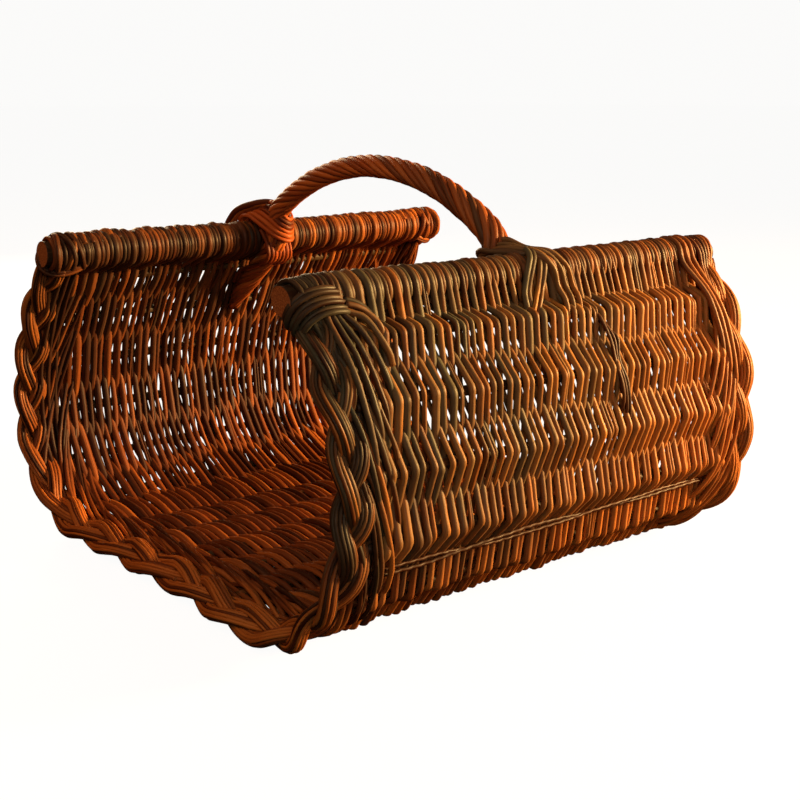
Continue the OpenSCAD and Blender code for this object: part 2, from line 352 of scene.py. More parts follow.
def sawn_wood(name):
    """The sawn end of a rail: brown end grain with saw marks."""
    material, nodes, links, shader = new_material(name, 0.8)
    grain = nodes.new("ShaderNodeTexNoise")
    grain.inputs["Scale"].default_value = 800.0
    grain.inputs["Detail"].default_value = 5.0
    links.new(attribute(nodes, "rod_place"), grain.inputs["Vector"])
    stops = ((0.35, (0.15, 0.042, 0.012)), (0.52, (0.24, 0.072, 0.020)), (0.72, (0.36, 0.125, 0.036)))
    links.new(ramp(nodes, links, grain.outputs["Fac"], stops), shader.inputs["Base Color"])
    bump(nodes, links, shader, grain.outputs["Fac"], 0.6, 0.8 * MM)
    return material


OLIVE = (0.074, 0.073, 0.045)
DARK_OLIVE = (0.044, 0.046, 0.030)
WEAVER_BARK = willow("weaver_bark", dark=(0.028, 0.008, 0.003), middle=(0.130, 0.040, 0.009),
                     light=(0.37, 0.150, 0.030), olive=OLIVE, olive_share=0.85)
STAKE_BARK = willow("stake_bark", dark=(0.022, 0.008, 0.003), middle=(0.060, 0.021, 0.006),
                    light=(0.14, 0.056, 0.015), olive=OLIVE, olive_share=0.5)
BORDER_BARK = willow("border_bark", dark=(0.024, 0.007, 0.003), middle=(0.120, 0.038, 0.009),
                     light=(0.34, 0.135, 0.028), olive=DARK_OLIVE, olive_share=0.75)
# the handle's bark is lighter and redder than the weavers': partly its own redder willow, partly painted
# light for the warm light on the handle
HANDLE_BARK_AND_PAINTED_LIGHT = willow("handle_bark_and_painted_light", dark=(0.075, 0.016, 0.004), middle=(0.290, 0.066, 0.011),
                     light=(0.50, 0.150, 0.026), olive=OLIVE, olive_share=0.45)
SAWN = sawn_wood("sawn_end")


# ---- rods
SCAR_GAP = 85 * MM               # between the leaf scars that thicken a rod


def wave(length, at, size):
    """A smooth random curve of a given wavelength and size, sampled at distances at."""
    total = np.zeros_like(at)
    for octave in (1.0, 0.47, 0.23):
        phase = rng.uniform(0, FULL_TURN)
        total += octave * np.sin(FULL_TURN * at / (length * octave) + phase)
    return total * size / 1.7


def distances(points):
    """Distance of each point along a curve."""
    return np.concatenate([[0.0], np.cumsum(np.linalg.norm(np.diff(points, axis=0), axis=1))])


def smooth(controls, step):
    """A Catmull-Rom curve through control points, sampled about every step."""
    p = np.asarray(controls, float)
    ends = [2 * p[0] - p[1], *p, 2 * p[-1] - p[-2]]
    out = []
    for a, b, c, d in zip(ends, ends[1:], ends[2:], ends[3:]):
        count = max(2, int(np.linalg.norm(c - b) / step))
        t = np.linspace(0, 1, count, endpoint=False)[:, None]
        out.append(0.5 * (2 * b + (c - a) * t + (2 * a - 5 * b + 4 * c - d) * t ** 2
                          + (3 * b - a - 3 * c + d) * t ** 3))
    return np.concatenate([*out, p[-1:]])


def straight(start, end, step):
    """Points on the line from start, left out, to end."""
    count = max(1, int(np.linalg.norm(end - start) / step))
    return start + (end - start) * np.linspace(0, 1, count + 1)[1:, None]


def kinked(controls, rounding, step=6.0 * MM):
    """Straight runs between control points, each corner rounded over its own distance."""
    p = np.asarray(controls, float)
    out = [p[:1]]
    for k in range(1, len(p) - 1):
        before, after = p[k - 1] - p[k], p[k + 1] - p[k]
        length_before, length_after = np.linalg.norm(before), np.linalg.norm(after)
        reach = min(rounding[k], 0.45 * length_before, 0.45 * length_after)
        start, end = p[k] + before / length_before * reach, p[k] + after / length_after * reach
        out.append(straight(out[-1][-1], start, step))
        t = np.linspace(0, 1, 5)[1:, None]
        out.append((1 - t) ** 2 * start + 2 * t * (1 - t) * p[k] + t ** 2 * end)
    out.append(straight(out[-1][-1], p[-1], step))
    return np.concatenate(out)


def frames(points):
    """Tangents and two normals along a curve, carried along without twist."""
    tangents = np.gradient(points, axis=0)
    tangents /= np.linalg.norm(tangents, axis=1)[:, None] + 1e-12
    askew = (0.31, 0.87, 0.39)
    first = np.cross(tangents[0], askew)
    normal = first / np.linalg.norm(first)
    normals = np.empty_like(points)
    for k, tangent in enumerate(tangents):
        normal = normal - tangent * np.dot(normal, tangent)
        normal /= np.linalg.norm(normal)
        normals[k] = normal
    return tangents, normals, np.cross(tangents, normals)


class Bundle:
    """Swept rods that become one mesh, with rod_place (the place on the rod) and rod_look_and_painted_light
    on it.

    The look is (tone, olive share, golden share): the tone has painted light and shade in it, the olive
    share is partly painted shade, and the golden share is painted warm light.
    """

    def __init__(self):
        self.verts, self.faces, self.places, self.looks = [], [], [], []
        self.count = 0

    @staticmethod
    def girths(points, along, radius, taper, knuckles):
        """The rod's radius at each point, with its taper, unevenness, leaf scars and knuckles."""
        length = along[-1]
        size = radius * (1 - taper * along / max(length, 1e-9))
        size = size * (1 + wave(60 * MM, along, 0.03) + wave(17 * MM, along, 0.02))
        for scar in np.arange(rng.uniform(0.02, 0.1), length, SCAR_GAP):
            off_scar = (along - scar - rng.uniform(-0.02, 0.02)) / (2.2 * MM)
            size = size * (1 + 0.10 * np.exp(-off_scar ** 2))
        if knuckles is not None:
            gaps = np.linalg.norm(points[:, None, :] - knuckles[None, :, :], axis=2).min(1)
            size = size * (1 + 0.13 * np.exp(-(gaps / (3.5 * MM)) ** 2))
        return size

    def rod(self, points, radius, tone, olive_and_painted_shade=0.5, painted_warm_light=0.0, taper=0.0, sides=8, knuckles=None):
        """Add a rod of bark. radius and the olive and golden shares may vary along it, the golden share
        being painted warm light and the olive share partly painted shade; taper thins its far end.
        """
        points = np.asarray(points, float)
        along = distances(points)
        size = self.girths(points, along, radius, taper, knuckles)
        _, one, two = frames(points)
        angle = np.linspace(0, FULL_TURN, sides, endpoint=False) + rng.uniform(0, 1)
        oval = 1 + 0.05 * np.cos(2 * angle + rng.uniform(0, 6))
        ring = (np.cos(angle) * oval)[None, :, None] * one[:, None, :] \
            + (np.sin(angle) * oval)[None, :, None] * two[:, None, :]
        verts = points[:, None, :] + ring * size[:, None, None]
        n = len(points)
        place = np.empty((n, sides, 3))
        place[..., 0] = along[:, None]
        place[..., 1] = np.cos(angle) * np.mean(radius)
        place[..., 2] = np.sin(angle) * np.mean(radius)
        place += rng.uniform(0, 40, 3)
        look = np.empty((n, sides, 3))
        look[..., 0] = tone_with_painted_light(points, tone)[:, None]
        look[..., 1] = np.broadcast_to(olive_and_painted_shade, (n,))[:, None]
        look[..., 2] = np.broadcast_to(painted_warm_light, (n,))[:, None]
        self.verts.append(verts.reshape(-1, 3))
        self.places.append(place.reshape(-1, 3))
        self.looks.append(look.reshape(-1, 3))
        self.skin(n, sides)
        return self

    def skin(self, n, sides):
        """Faces of the newest rod: quads round its n rings, and a cap at each end."""
        base = self.count
        k, j = np.meshgrid(np.arange(n - 1), np.arange(sides), indexing="ij")
        a = base + k * sides + j
        b = base + k * sides + (j + 1) % sides
        quads = np.stack([a, b, b + sides, a + sides], -1).reshape(-1, 4)
        self.faces.extend(quads.tolist())
        self.faces.append([base + s for s in range(sides - 1, -1, -1)])
        self.faces.append([base + (n - 1) * sides + s for s in range(sides)])
        self.count += n * sides

    def object(self, name, material, slot, *nodes):
        """Make the piece, and let it stand for the CAD nodes."""
        mesh = bpy.data.meshes.new(name)
        mesh.from_pydata(np.concatenate(self.verts).tolist(), [], self.faces)
        for attribute_name, values in (("rod_place", self.places), ("rod_look_and_painted_light", self.looks)):
            data = mesh.attributes.new(attribute_name, "FLOAT_VECTOR", "POINT").data
            data.foreach_set("vector", np.concatenate(values).ravel())
        mesh.polygons.foreach_set("use_smooth", [len(face) == 4 for face in self.faces])
        mesh.materials.append(material)
        mesh.update()
        piece = bpy.data.objects.new(name, mesh)
        bpy.context.scene.collection.objects.link(piece)
        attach(piece, "root")
        if nodes:
            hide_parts(*nodes)
        return piece


# ---- stakes
STAKE_CREEP = 7 * MM             # the most that a stake's end lies above or below its middle


def stake_line(index, y):
    """Distance round the wall of a stake at y; those of the right side and bottom slant a little."""
    pitch = (WEAVE.girth - 2 * FIRST_STAKE) / (STAKES - 1)
    creep = STAKE_CREEP * math.cos(math.pi * min(index, 8) / 8) if index < 13 else 0.0
    return FIRST_STAKE + index * pitch + creep * np.asarray(y) / WOVEN_HALF


def make_stakes():
    names = [f"stake_right_{k}" for k in range(9, 0, -1)] + ["stake_bottom_middle"]
    names += [f"stake_left_{k}" for k in range(1, 10)]
    reach = WOVEN_HALF + 14 * MM
    for index, node in enumerate(names):
        y = np.arange(-reach, reach, 6 * MM)
        g = stake_line(index, y) + wave(0.21, y, 0.8 * MM)
        points = WEAVE.place(g, wave(0.16, y, 0.5 * MM), y)
        tone = rng.uniform(0.2, 0.6)
        bundle = Bundle()
        bundle.rod(points, STAKE_R * rng.uniform(0.92, 1.05), tone, taper=rng.choice([-0.12, 0.12]))
        bundle.object(f"stake_rod_{index + 1:02d}", STAKE_BARK, "stake", node)


# ---- weavers
SHARP, SOFT, ROUND = 4.5 * MM, 9 * MM, 20 * MM      # over what distance a weaver bends at a stake
RAIL_SLANT = 6 * MM              # how far the rods lean to the front on their way up to the right rail
DOUBLED_SHARE = 0.14             # share of the weavers that are two thin rods side by side
DOUBLED_SIZE = 0.62


def rail_circle(side, angle, radius, y):
    """Points on a circle about a rail; 0 is outward, 90 degrees is up, 180 is towards the trough."""
    return np.stack([side * (RAIL_X + radius * np.cos(angle)), np.broadcast_to(y, np.shape(angle)),
                     RAIL_Z + radius * np.sin(angle)], -1)


def over_rail(side, last, radius, inner, y_from, y_to):
    """From the last point on the wall, round a rail, and down under the rod that comes to meet it."""
    seat = RAIL_R + radius
    dx, dz = side * last[0] - RAIL_X, last[2] - RAIL_Z
    toward, spread = math.atan2(dz, dx), math.acos(min(1, seat / math.hypot(dx, dz)))
    if inner:
        count, lift = 18, 0.0
        angle = np.linspace(toward - spread + FULL_TURN, math.radians(58), count)
    else:
        count, lift = 12, 0.25 * radius
        angle = np.linspace(toward + spread, math.radians(128), count)
    dive = np.clip(np.linspace(-2.2, 1.0, count), 0, 1) * radius * 1.2
    return rail_circle(side, angle, seat + lift - dive, np.linspace(y_from, y_to, count))


def stand_off(index, outside):
    """How far a kink stands off its stake, as a share of touching it, and how far it is rounded."""
    if index <= 5:
        return (1.20, SHARP) if outside else (1.12, SOFT)
    if index <= 12:
        return (1.02, SOFT) if outside else (1.0, ROUND)
    return (0.78, SOFT) if outside else (0.74, ROUND)


def lean_of(g, y):
    """Neighbouring rods lean the same way: a slow sideways drift along the rods."""
    middle = 1 - (y / WOVEN_HALF) ** 2
    drift = 2.6 * MM * middle * math.sin(FULL_TURN * (g / 0.31 + 2.1 * y))
    return drift + 1.4 * MM * math.sin(g / 0.021)


def weaver_rows():
    """Where each weaver lies along the basket, and its size: [(y, radius)]."""
    rows, y = [], -WOVEN_HALF - 3 * MM
    while y < WOVEN_HALF + 5 * MM:
        radius = WEAVER_R * np.clip(rng.normal(1.0, 0.16), 0.7, 1.35)
        if rows:
            y += 0.87 * (radius + rows[-1][1])
        rows.append((y, radius))
    return rows


def weaver_path(row, rows, shift):
    """One weaver from the top of the right rail, over and under every stake, to the left rail.

    shift moves it along the basket. Returns the path and the kinks where it passes outside a stake.
    """
    y, radius = rows[row]
    outside_first = row % 2 == 0
    controls, rounding, kinks = [], [], []
    for index in range(STAKES):
        outside = (index % 2 == 0) == outside_first
        share, reach = stand_off(index, outside)
        g = stake_line(index, y) + rng.normal(0, 1.5 * MM)
        kink_y = y + shift + lean_of(g, y) + rng.normal(0, 0.65 * MM)
        proud = (STAKE_R + radius) * (share if outside else -share) + rng.normal(0, 0.4 * MM)
        controls.append(WEAVE.place(g, proud, kink_y))
        rounding.append(reach * rng.uniform(0.8, 1.25))
        if outside:
            kinks.append(controls[-1])
    before = rows[row - 1][0] if row else y - 2 * radius
    after = rows[row + 1][0] if row + 1 < len(rows) else y + 2 * radius
    right_y = (y + after) / 2 if outside_first else (y + before) / 2
    left_y = (y + before) / 2 if outside_first else (y + after) / 2
    slanted = shift - RAIL_SLANT
    right = over_rail(RIGHT, controls[0], radius, outside_first, y + slanted, right_y + slanted)[::-1]
    left = over_rail(LEFT, controls[-1], radius, outside_first, y + shift, left_y + shift)
    middle = kinked([right[-1], *controls, left[0]], [0, *rounding, 0])
    return np.concatenate([right[:-1], middle, left[1:]]), np.array(kinks)


def make_weavers(rows):
    """The weavers, each a piece of its own, a little thicker on the left side."""
    for row, (_, radius) in enumerate(rows):
        bundle = Bundle()
        doubled = rng.random() < DOUBLED_SHARE
        for part in ((-0.55, 0.55) if doubled else (0,)):
            points, kinks = weaver_path(row, rows, part * radius)
            points[:, 1] += wave(0.09, distances(points), 0.3 * MM)
            on_left = rise(points[:, 0], 0.1, -0.1)
            size = radius * (DOUBLED_SIZE if doubled else 1.0) * (1.03 + 0.23 * on_left)
            bundle.rod(points, size, rng.uniform(0.1, 0.95), olive_and_painted_shade_of(points), painted_warm_light_of(points),
                       taper=rng.choice([-1, 1]) * rng.uniform(0.0, 0.18), knuckles=kinks)
        nodes = ("woven_body",) if row == 0 else ()
        bundle.object(f"weaver_{row + 1:02d}", WEAVER_BARK, "weave", *nodes)


# ---- rails
def make_rail_wraps(rows):
    """Rings of willow that fill the rail between the weavers that loop over it."""
    for side, name in SIDES:
        bundle = Bundle()
        for row in range(len(rows) - 1):
            if (row % 2 == 0) == (side == RIGHT):
                continue
            y = (rows[row][0] + rows[row + 1][0]) / 2 + rng.normal(0, 0.4 * MM)
            y -= RAIL_SLANT if side == RIGHT else 0
            size = rng.uniform(2.2, 3.1) * MM
            angle = np.radians(np.linspace(-95, 268, 40))
            lean = np.linspace(2.6, -2.6, 40) * MM * side
            seat = RAIL_R + size * 0.9 + np.cos(angle - 1.0) * 0.6 * MM
            points = rail_circle(side, angle, seat, y + lean)
            bundle.rod(points, size, rng.uniform(0.15, 0.85), olive_and_painted_shade_of(points), painted_warm_light_of(points))
        bundle.object(f"rail_wrapping_{name}", WEAVER_BARK, "rail_wrapping", f"rail_wrap_{name}")


def make_rails():
    """The two rail sticks, with bark along them and sawn ends."""
    inner = np.arange(-RAIL_HALF + 6 * MM, RAIL_HALF - 5 * MM, 8 * MM)
    rim = RAIL_HALF - 0.8 * MM
    y = np.concatenate([[-RAIL_HALF, -rim], inner, [rim, RAIL_HALF]])
    for side, name in SIDES:
        points = np.stack([np.full(y.shape, side * RAIL_X), y, np.full(y.shape, RAIL_Z)], -1)
        bundle = Bundle().rod(points, RAIL_R, 0.4, sides=40)
        piece = bundle.object(f"rail_stick_{name}", STAKE_BARK, "rail_stick", f"rail_{name}")
        piece.data.materials.append(SAWN)
        for polygon in piece.data.polygons:
            polygon.material_index = 1 if len(polygon.vertices) > 4 else 0


# ---- plaited borders
PLAIT_PERIOD = {FRONT: 142 * MM, BACK: 182 * MM}     # length of the plait in which a strand comes back
PLAIT_SWING = {FRONT: 10 * MM, BACK: 8.5 * MM}       # how far a strand swings to each side
PLAIT_DEPTH = 5.2 * MM           # how far a strand rises and dips where it crosses another
PLAIT_TILT = math.radians(34)    # how far the plait's inner edge turns up along the bottom
PLAIT_LIFT = 4.5 * MM            # how far the plait sits up into the trough along the bottom
BOTTOM_STRETCH = 0.45            # how much longer the plait's period is along the bottom
PLAIT_Y = BORDER_Y + BORDER_HALF_WIDTH - 12.5 * MM   # middle of the front plait
BACK_SHIFT = 6 * MM              # how much further out the back plait's middle is
CORNER_BULGE = 11 * MM           # how far the front plait swings out at the right lower corner
BORDER_START = 13 * MM           # from the rail centre down the wall to the plait's end
STRAND_RODS = 12
STRAND_R = 5.4 * MM
# The rods beside the plait: (in from its middle, out from the wall), mm
CORE_LANES = ((8, -8), (12, -2), (15.5, -7.5), (19, -4), (23, -7))


def plait_middle(end, g):
    """How far from the basket's middle the plait's own middle is, at distances g round the wall."""
    if end == BACK:
        return PLAIT_Y + BACK_SHIFT
    x, _, z = EDGE.place(g).T
    corner = rise(x, 10 * MM, 130 * MM) * rise(z, 0.12, 0.04)
    return PLAIT_Y + CORNER_BULGE * np.sin(corner * math.pi / 2) ** 2


def make_strand(end, g, turn, swing, plait_y, flat):
    """One strand: a ring of thin rods round a thick one. turn is its phase in the plait."""
    tilt = PLAIT_TILT * flat
    depth = PLAIT_DEPTH * np.sin(2 * turn)
    across = -swing * np.cos(turn)
    out_y = across * np.cos(tilt) - depth * np.sin(tilt)
    proud = across * np.sin(tilt) + depth * np.cos(tilt) - PLAIT_LIFT * flat
    centre = EDGE.place(g, proud, end * (plait_y + out_y))
    tangent, _, _ = frames(centre)
    sideways = np.cross(tangent, EDGE.normal(g))
    sideways /= np.linalg.norm(sideways, axis=1)[:, None]
    out = np.cross(sideways, tangent)
    bundle = Bundle()
    for k in range(STRAND_RODS):
        angle = FULL_TURN * k / STRAND_RODS
        off_side = (STRAND_R * math.cos(angle) + wave(0.13, g, 0.5 * MM)) * 1.12
        off_out = (STRAND_R * math.sin(angle) + wave(0.11, g, 0.4 * MM)) * 0.88
        points = centre + sideways * off_side[:, None] + out * off_out[:, None]
        bundle.rod(points, BORDER_ROD_R * rng.uniform(0.85, 1.2), rng.uniform(-0.15, 1.15),
                   olive_and_painted_shade_of(points), 0.7 * painted_warm_light_of(points), sides=6)
    bundle.rod(centre, STRAND_R, 0.1, olive_and_painted_shade_of(centre))
    return bundle


def make_border(end, name):
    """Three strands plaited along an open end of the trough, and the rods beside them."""
    start, stop = BORDER_START, EDGE.girth - BORDER_START
    g = np.arange(start, stop, 4.5 * MM)
    plait_y = plait_middle(end, g)
    width = 0.5 + 0.5 * rise(np.minimum(g - start, stop - g), 0, 40 * MM)
    flat = np.clip(-EDGE.normal(g)[:, 2], 0, 1) ** 2
    period = PLAIT_PERIOD[end] * (1 + BOTTOM_STRETCH * flat)
    turns = np.concatenate([[0.0], np.cumsum(np.diff(g) / period[1:])])
    for strand in range(3):
        turn = FULL_TURN * (turns + strand / 3) + wave(0.3, g, 0.16)
        swing = PLAIT_SWING[end] * width * (1 + wave(0.23, g, 0.10))
        bundle = make_strand(end, g, turn, swing, plait_y, flat)
        nodes = (f"border_{name}",) if strand == 0 else ()
        bundle.object(f"border_{name}_strand_{strand + 1}", BORDER_BARK, "border_plait", *nodes)
    core = Bundle()
    for lane, proud in CORE_LANES:
        y = end * (plait_y - lane * MM + wave(0.17, g, 1 * MM))
        points = EDGE.place(g, proud * MM + wave(0.2, g, 1 * MM), y)
        core.rod(points, 2.4 * MM, rng.uniform(0, 0.3), olive_and_painted_shade_of(points), sides=7)
    core.object(f"border_{name}_core", BORDER_BARK, "border_plait")


# How a turned rod goes: (share of its sweep, out towards the end, off the wall), the last two in mm
TURNED_ROUTE = ((0, 0, 0), (0.16, 5, 5.0), (0.38, 13, 8.0), (0.64, 21, 8.0), (0.86, 28, 5.5), (1.0, 33, 0.5))


def make_turned_rods(end, name):
    """Rods that leave the weave beside each stake, sweep towards the edge and go into the plait."""
    bundle = Bundle()
    for index in range(STAKES):
        for k in range(6 if index < 14 else 5):
            face = 1 if k % 2 else -1
            start = float(stake_line(index, end * WOVEN_HALF)) + rng.uniform(-2, 2) * MM
            sweep = rng.uniform(105, 150) * MM
            if start - sweep < 16 * MM:
                continue
            inner_y = (184 + 3.4 * k + rng.normal(0, 1.5)) * MM
            route = []
            for share, out_y, proud in TURNED_ROUTE:
                y = inner_y + (out_y + rng.normal(0, 0.8)) * MM
                route.append(WEAVE.place(start - share * sweep, face * proud * MM, end * y))
            points = smooth(route, 4 * MM)
            bundle.rod(points, BORDER_ROD_R * rng.uniform(1.1, 1.6), rng.uniform(0.05, 0.9),
                       olive_and_painted_shade_of(points), 0.7 * painted_warm_light_of(points), taper=rng.uniform(0, 0.2), sides=7)
    bundle.object(f"border_{name}_turned_rods", BORDER_BARK, "border_plait")


# ---- twined rows
TWINE_R = 1.5 * MM
TWINE_LAY = 310 * MM             # length in which the two rods go once round each other


def make_twined_rows():
    """Two thin rods laid round each other along the outside, low on each wall."""
    y = np.arange(-WOVEN_HALF - 6 * MM, WOVEN_HALF + 6 * MM, 2.5 * MM)
    turn = FULL_TURN * y / TWINE_LAY + 0.8
    for side, name in SIDES:
        row = SEAM_DROP if side == RIGHT else WEAVE.girth - SEAM_DROP
        bundle = Bundle()
        for part in (-1, 1):
            g = row + part * 2.6 * MM * np.cos(turn) + wave(0.19, y, 1.2 * MM)
            proud = 2.6 * MM + part * 0.8 * MM * np.sin(turn) + wave(0.012, y, 0.6 * MM)
            points = WEAVE.place(g, proud, y)
            bundle.rod(points, TWINE_R, rng.uniform(0.05, 0.3), 0.2 * olive_and_painted_shade_of(points), sides=7)
        bundle.object(f"twined_rods_{name}", STAKE_BARK, "stake", f"twined_row_{name}")


# ---- handle
BOW_RADIUS = 272 * MM
SHOULDER = math.radians(34)      # how far the bow's arc goes to each side of its top
FOOT_GAP = 29 * MM               # from the rail centre in to the middle of the handle's foot
FOOT_X = RAIL_X - FOOT_GAP
FOOT_DROPS = np.array((36, 56, 78, 100)) * MM        # points of the foot, as distances down the wall
FOOT_STANDS = np.array((-21, -17, -12, -6)) * MM     # and how far each stands off the wall
TURN_RADIUS = (FOOT_X - BOW_RADIUS * math.sin(SHOULDER)) / (1 - math.sin(SHOULDER))
BOW_R = 5 * MM
ROPING_RODS = 9
ROPING_ROD_R = 3.0 * MM
ROPING_LAY = 128 * MM            # length in which a roping rod goes once round the bow


def bow_curve(step):
    """The handle's middle line from its foot in the left wall, over the top, to the right wall."""
    top = HANDLE_TOP - BOW_RADIUS
    arc = np.linspace(-SHOULDER, SHOULDER, 36)
    bow = np.stack([BOW_RADIUS * np.sin(arc), np.zeros(36), top + BOW_RADIUS * np.cos(arc)], -1)
    centre_x = FOOT_X - TURN_RADIUS
    centre_z = top + (BOW_RADIUS - TURN_RADIUS) * math.cos(SHOULDER)
    turn = np.linspace(math.pi / 2 - SHOULDER, 0, 8)[1:]
    shoulder = np.stack([centre_x + TURN_RADIUS * np.cos(turn), np.zeros(7),
                         centre_z + TURN_RADIUS * np.sin(turn)], -1)
    shoulder = np.concatenate([shoulder, [[FOOT_X, 0, RAIL_Z - 6 * MM]]])
    right_foot = WEAVE.place(FOOT_DROPS, FOOT_STANDS)
    left_foot = WEAVE.place(WEAVE.girth - FOOT_DROPS, FOOT_STANDS)
    left_shoulder = shoulder * np.array([-1, 1, 1])
    return smooth(np.concatenate([left_foot[::-1], left_shoulder[::-1], bow, shoulder, right_foot]), step)


def make_handle():
    """The bow rod, and roping laid round it, thicker and more olive to the right."""
    curve = bow_curve(3.2 * MM)
    Bundle().rod(curve, BOW_R, 0.4).object("handle_bow_rod", HANDLE_BARK_AND_PAINTED_LIGHT, "handle_core", "handle_bow")
    rope = Bundle()
    along = distances(curve)
    gather = 0.4 + 0.6 * rise(np.minimum(along, along[-1] - along), 0, 45 * MM)
    tangent = np.gradient(curve, axis=0)
    tangent /= np.linalg.norm(tangent, axis=1)[:, None]
    outward = np.stack([-tangent[:, 2], np.zeros(len(curve)), tangent[:, 0]], -1)
    lengthwise = np.array([0, 1.0, 0])
    to_right = rise(curve[:, 0], 0, 0.16)
    swell = 1 + 0.16 * to_right
    seat = ((BOW_R + ROPING_ROD_R * 0.93) * gather * swell)[:, None]
    for rod in range(ROPING_RODS):
        turn = FULL_TURN * (rod / ROPING_RODS - along / ROPING_LAY) + wave(0.12, along, 0.05)
        points = curve + seat * (np.cos(turn)[:, None] * outward + np.sin(turn)[:, None] * lengthwise)
        rope.rod(points, ROPING_ROD_R * rng.uniform(0.92, 1.08) * swell, rng.uniform(0.15, 0.8),
                 0.35 + 0.5 * to_right)
    rope.object("handle_roping_rods", HANDLE_BARK_AND_PAINTED_LIGHT, "handle_roping", "handle_roping")


# ---- lashings and corner knots
LASH_R = 2.3 * MM


def spots(side, end=BACK):
    """Makers of points on one side, all in millimetres, with y counted towards one end."""

    def near(out, y, up):
        """Outward from the rail's centre, along the basket and up."""
        return np.array([side * (RAIL_X + out * MM), end * y * MM, RAIL_Z + up * MM])

    def rail(degrees, lift, y):
        """Round the rail, lifted off it: 0 degrees is outward and 90 is the top."""
        angle = math.radians(degrees)
        reach = RAIL_R / MM + lift
        return near(reach * math.cos(angle), y, reach * math.sin(angle))

    def wall(drop, proud, y):
        """Down the wall from the rail's centre, and proud of the wall's middle."""
        g = drop * MM if side == RIGHT else WEAVE.girth - drop * MM
        return WEAVE.place(g, proud * MM, end * y * MM)

    return near, rail, wall


def lash(bundle, controls, radius=LASH_R, olive_and_painted_shade=None, painted_warm_light=0.0):
    """A rod through control points, with the olive share that its place paints, partly painted shade, unless
    one is given.
    """
    points = smooth(controls, 2.5 * MM)
    points[:, 1] += wave(0.03, distances(points), 0.25 * MM)
    shade = olive_and_painted_shade_of(points) if olive_and_painted_shade is None else olive_and_painted_shade
    bundle.rod(points, radius * rng.uniform(0.9, 1.12), rng.uniform(0.0, 0.85), shade, painted_warm_light)


def make_right_lashing():
    """Rods that cross over the rail at the handle's foot and end in the outer wall."""
    near, rail, wall = spots(RIGHT)
    bundle = Bundle()
    # some of these rods get a little painted warm light as a golden tint
    for k in range(2):
        y = 5.2 * k
        lash(bundle, [rail(120, 8, 6 + y), rail(85, 9, 1 + y), rail(48, 9, -5 + y), rail(10, 7, -12 + y),
                      wall(22, 8, -17 + y), wall(32, 6, -19 + y), wall(43, 0, -15 + y)], olive_and_painted_shade=0.9)
        lash(bundle, [rail(110, 5, 17 + y), rail(60, 6, 10 + y), rail(20, 7, 4 + y), wall(22, 9, -2 + y),
                      wall(35, 8, -12 + y), wall(48, 1, -18 + y)], olive_and_painted_shade=0.9, painted_warm_light=0.1)
    for k in range(4):
        y = 4.2 * k
        lash(bundle, [near(-30, 14, -10), near(-39, 2 - y, -2 + y), near(-32, -12 - 0.5 * y, 5 + y),
                      near(-17, -15 - 0.3 * y, 18), rail(90, 6, -9), rail(55, 7, 4 + 0.5 * y),
                      rail(25, 8, 14 + 0.6 * y), wall(22, 6, 22 + 0.6 * y), wall(34, 2, 26 + 0.6 * y)])
    for k in range(3):
        y = 6.0 * k
        lash(bundle, [rail(245, 4, -20 + y), near(-35, -13 + 0.4 * y, 4),
                      near(-33, -8 + 0.6 * y, 13 + 0.6 * y), near(-18, -9 + 0.7 * y, 20 + 0.6 * y),
                      rail(95, 9, -4 + y), rail(55, 10, 7 + 1.2 * y), rail(15, 9, 17 + 1.4 * y),
                      wall(22, 10, 22 + 1.5 * y), wall(36, 8, 25 + 1.4 * y), wall(52, 1, 26 + 1.3 * y)],
             olive_and_painted_shade=0.6, painted_warm_light=0.35)
    bundle.object("lashing_rods_right", WEAVER_BARK, "lashing", "handle_lashing_right")


def make_left_lashing():
    """A band wound round the foot of the handle and the rail, a loop outside, and the rods' tails."""
    near, rail, wall = spots(LEFT)
    bundle = Bundle()
    for k in range(6):
        s = 5.7 * k
        lash(bundle, [rail(60, 5, -19 + s), rail(88, 10, -22 + 0.95 * s),
                      near(-13, -22 + 0.9 * s, 24 + 0.35 * s), near(-30, -16 + 0.45 * s, 14 + 0.85 * s),
                      near(-43, -7 + 0.2 * s, 3 + 0.85 * s), near(-46, 5, -1 + 0.78 * s),
                      near(-38, 15, 2 + 0.72 * s), near(-24, 18, 10 + 0.6 * s),
                      rail(115, 10, 17 - 0.3 * s), rail(60, 5, 14 - 0.3 * s)], LASH_R * 1.05, olive_and_painted_shade=0.15)
    for k in range(3):
        lash(bundle, [near(-32, 10, 30 + 2 * k), near(-16, -1, 34 + 2 * k), near(2, -8 - 3 * k, 30 + 2 * k),
                      near(15, -16 - 3 * k, 22 + 2 * k), near(21 + 2 * k, -21 - 2 * k, 10),
                      near(18, -22, -8)], LASH_R * 1.2, olive_and_painted_shade=0.3)
    for k in range(7):
        y = -13 + 4.6 * k
        lash(bundle, [near(-22, y, 10), near(-32, y, -4), near(-29, y + 1, -22), wall(42, -11, y + 2),
                      wall(62, -9, y + 1)], LASH_R * 1.05, olive_and_painted_shade=0.1)
    bundle.object("lashing_rods_left", HANDLE_BARK_AND_PAINTED_LIGHT, "lashing", "handle_lashing_left")


def rods_over_rail_end(bundle, rail, wall):
    """Rods that go over the rail's end and down beside the border."""
    for k in range(5):
        top, low = 242.5 - 5.4 * k, 236 - 3.0 * k
        lash(bundle, [rail(262, 3.5, top + 1), rail(215, 3.5, top + 1), rail(170, 3, top + 1),
                      rail(125, 2.8, top + 1), rail(85, 2.8, top), rail(45, 3.5, top - 1),
                      rail(8, 4.5, (top + low) / 2), wall(22, 7, low), wall(44, 6, low - 4),
                      wall(66, 2, low - 6)])


